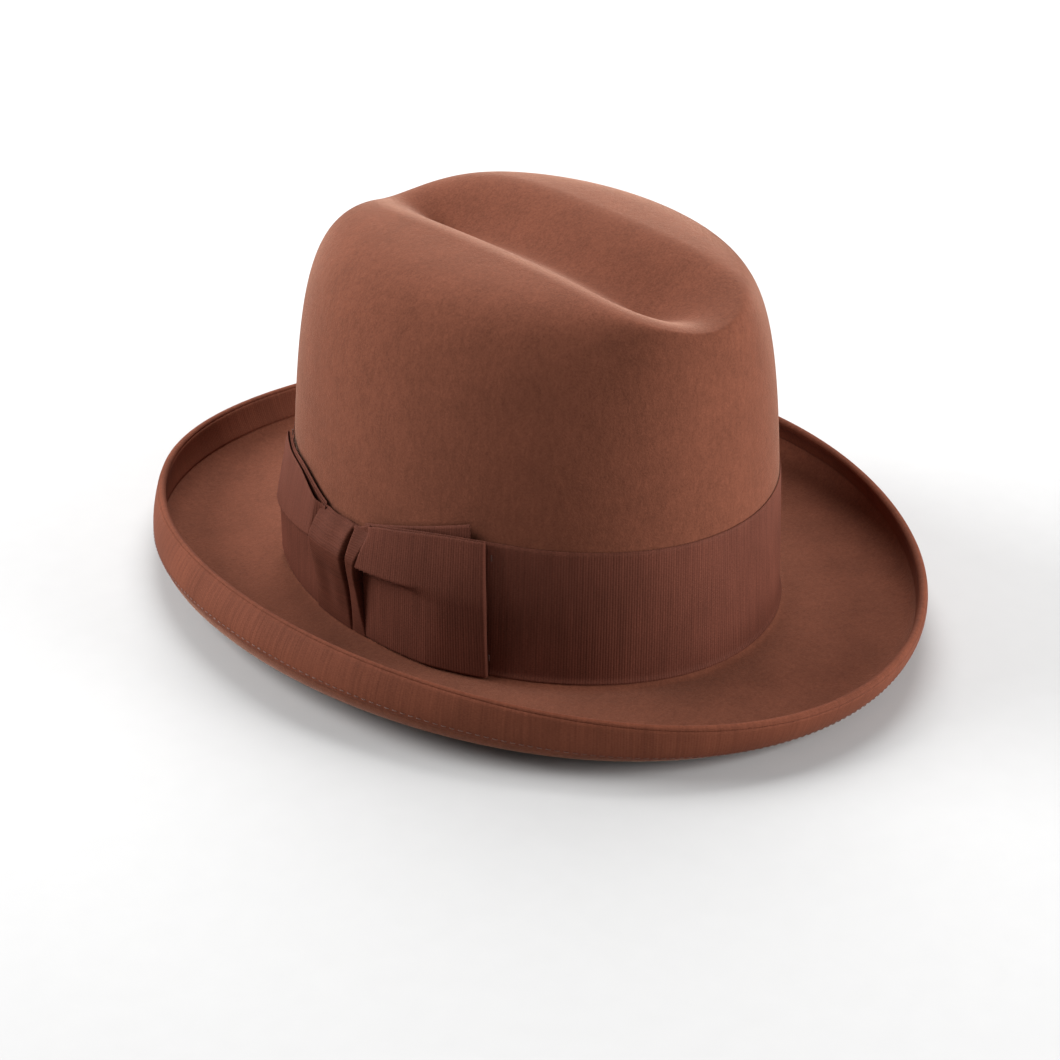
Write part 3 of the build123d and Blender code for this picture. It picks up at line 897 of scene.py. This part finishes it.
def make_lining_tip():
    """The lining's oval top, which follows the dent from its inside."""
    angle = -pi / 2 + 2 * pi * np.arange(tip_rows) / tip_rows
    wall = trace(wall_curve(angle), 160)
    base = brim_drop + blend(crown_base, angle)
    rise = np.maximum.accumulate(wall[..., 1], 1) - base[:, None]
    shares = np.linspace(0, 1, 160)
    start = np.array([np.interp(lining_seam + seam_gap, h, shares) for h in rise])
    share = np.linspace(0, 1, 34)[None]
    upward = (start[:, None] + (1 - start[:, None]) * share)[..., None]
    top = cubic(wall_curve(angle), upward)
    path = join(top, trace(dent_curve(angle), 26))
    near, far = offset(path, lining_middle - satin / 2), offset(path, lining_middle + satin / 2)
    near[:, -1, 0] = 0
    far[:, -1, 0] = 0
    section = np.concatenate([near[:, ::-1], far], 1)
    points = to_hat(angle, section)
    rows, columns = points.shape[:2]
    i, j, faces = fan_faces(rows, columns)
    uv = points[i % rows, j, :2]
    piece = make_piece("lining_top", points, faces, uv, lining_satin, ["lining_tip"])


def make_label():
    """A blank size label on the sweatband."""
    angle = np.radians(np.linspace(*label_angles, 40))
    heights = np.linspace(*label_heights, 20)
    path = offset(wall_heights(angle, heights), sweatband_face + skin_gap + thin_cloth / 2)
    piece = make_sheet("blank_label", to_hat(angle, path), thin_cloth, label_surface,
                       ["size_label"], ribs=0.0)


def make_rear_bow():
    """The small flat satin bow over the sweatband's joint."""
    height, half_length, half_tie = 24.0, 11.0, 1.7
    seat = wall_heights(np.array([pi / 2]), [height])[0, 0]
    y_wall = seat[0] + spine - sweatband_face
    z_mid = seat[1]
    x = np.linspace(-half_length, half_length, 90)[:, None]
    share = np.linspace(-1, 1, 16)[None, :]
    half_width = 1.1 + 2.2 * ease(np.abs(x), 1.0, 9.5)
    puff = 0.9 + 0.55 * ease(np.abs(x), 1.5, 5) * (1 - ease(np.abs(x), 8, half_length))
    y = y_wall - puff - 0.25 * (1 - share ** 2)
    grid = np.stack([x + 0 * share, y, z_mid + half_width * share], -1)
    bow = make_sheet("rear_bow", grid, thin_cloth, bow_satin, ["sweatband_bow"],
                     ribs=0.0)
    turn = np.linspace(-pi / 2, pi / 2, 24)[:, None]
    across = np.linspace(-half_tie, half_tie, 10)[None, :]
    loop = np.stack([across + 0 * turn, y_wall - 0.6 - 1.6 * np.cos(turn) + 0 * across,
                     z_mid + 2.1 * np.sin(turn) + 0 * across], -1)
    tie = make_sheet("rear_bow_tie", loop, thin_cloth, bow_satin, ribs=0.0)


def stitch_places(angle, lines):
    """Places of stitches round the hat, the way each runs, and a way square to the cloth."""
    ring = to_hat(angle, lines)
    before, places, after = ring[:, 0], ring[:, 1], ring[:, 2]
    along = np.roll(places, -1, 0) - np.roll(places, 1, 0)
    along /= np.linalg.norm(along, axis=-1, keepdims=True)
    outward = np.cross(along, after - before)
    return places, along, outward / np.linalg.norm(outward, axis=-1, keepdims=True)


def make_binding_seam():
    """The stitches that hold the binding, along its lower edge outside the brim's curl."""
    angle = even_angles(brim_half_width, brim_half_length, binding_stitch_pitch)
    cloth = felt + skin_gap + ribbon + binding_stitch_lift
    under = offset(trace(brim_curve(angle), 90), cloth)
    lines = at_lengths(under, binding_outside - binding_stitch_inset + stitch_lines)
    places, along, outward = stitch_places(angle, lines)
    if outward[:, 2].mean() > 0:
        outward = -outward
    make_threads("binding_seam", places, along, outward, binding_stitch, brown_thread,
                 "binding_stitches")


def make_sweat_seam():
    """The stitches along the foot of the sweatband, seen from inside the hat."""
    angle = even_angles(crown_half_width, crown_half_length, sweatband_stitch_pitch)
    wall = wall_heights(angle, sweatband_stitch_height + stitch_lines)
    lines = offset(wall, sweatband_face + sweatband_stitch_lift)
    places, along, outward = stitch_places(angle, lines)
    level = places * (1, 1, 0)
    if np.einsum("ij,ij->i", level, outward).mean() > 0:
        outward = -outward
    make_threads("sweat_seam", places, along, outward, sweatband_stitch, tan_thread,
                 "sweatband_stitches")


def cover(node, surface):
    """Give a node of the model its material."""
    mesh = bpy.data.objects[node].data
    mesh.materials.clear()
    mesh.materials.append(surface)


# ---------------------------------------------------------------- the hat

make_felt()
make_binding()
make_band()
make_bow()
make_sweatband()
make_lining()
make_lining_tip()
make_label()
make_rear_bow()
make_binding_seam()
make_sweat_seam()
cover("sweatband_reed", reed_material())
cover("tip_shield", clear_film)
cover("bow_tacks", dark_thread)


# ---------------------------------------------------------------- floor, light and camera

camera_distance = 1.2
camera_turn = radians(138.014)       # from the front, round to the wearer's left
camera_rise = radians(26.043)
camera_roll = radians(0.997)
camera_target = Vector((0, 0, 0.05383))
camera_view = 0.40275                # how wide the view is at the target, in metres
camera_shift = (-0.0042, -0.0808)
light_target = Vector((0, 0, 0.08))
floor_half_side = 6.0
floor_drop = 0.0002                  # how far the floor lies below the model's base
sky_strength = 0.23

# Lights by name: how far to the right of the camera, behind the hat and up; size; power.
lights = {"left_light": ((-1.2, 0.15, 0.72), 0.9, 25),
          "right_light": ((1.25, -0.25, 0.42), 0.9, 24),
          "back_light": ((0.0, 1.0, 1.25), 1.2, 27)}

backward = Vector((sin(camera_turn) * cos(camera_rise), -cos(camera_turn) * cos(camera_rise),
                   sin(camera_rise)))


def aim(thing, spot, target):
    """Put a thing at a spot, facing a target."""
    thing.location = spot
    thing.rotation_euler = (spot - target).to_track_quat("Z", "Y").to_euler()


def make_camera():
    camera = bpy.data.objects.new("camera", bpy.data.cameras.new("camera"))
    bpy.context.scene.collection.objects.link(camera)
    camera.data.sensor_width = 36.0
    camera.data.lens = camera.data.sensor_width * camera_distance / camera_view
    camera.data.shift_x, camera.data.shift_y = camera_shift
    aim(camera, camera_target + backward * camera_distance, camera_target)
    turn = camera.rotation_euler.to_matrix() @ Matrix.Rotation(camera_roll, 3, "Z")
    camera.rotation_euler = turn.to_euler()
    bpy.context.scene.camera = camera


def make_light(name, spot, size, power):
    light = bpy.data.lights.new(name, "AREA")
    light.shape = "DISK"
    light.size, light.energy = size, power
    thing = bpy.data.objects.new(name, light)
    bpy.context.scene.collection.objects.link(thing)
    aim(thing, spot, light_target)


def make_floor():
    mesh = bpy.data.meshes.new("floor")
    corners = [(-1, -1), (1, -1), (1, 1), (-1, 1)]
    mesh.from_pydata([(floor_half_side * x, floor_half_side * y, 0) for x, y in corners],
                     [], [(0, 1, 2, 3)])
    floor = bpy.data.objects.new("floor", mesh)
    bpy.context.scene.collection.objects.link(floor)
    mesh.materials.append(floor_material())
    floor.location.z = -floor_drop


def make_studio():
    """Three soft lights round the hat and an even white sky."""
    rightward = Vector((cos(camera_turn), sin(camera_turn), 0))
    behind = -Vector((backward.x, backward.y, 0)).normalized()
    upward = Vector((0, 0, 1))
    for name, ((right, back, up), size, power) in lights.items():
        make_light(name, rightward * right + behind * back + upward * up, size, power)
    world = bpy.data.worlds.new("studio")
    world.use_nodes = True
    sky = world.node_tree.nodes["Background"]
    sky.inputs["Color"].default_value = (1, 1, 1, 1)
    sky.inputs["Strength"].default_value = sky_strength
    bpy.context.scene.world = world
    bpy.context.scene.view_settings.view_transform = "Standard"


make_floor()
make_camera()
make_studio()
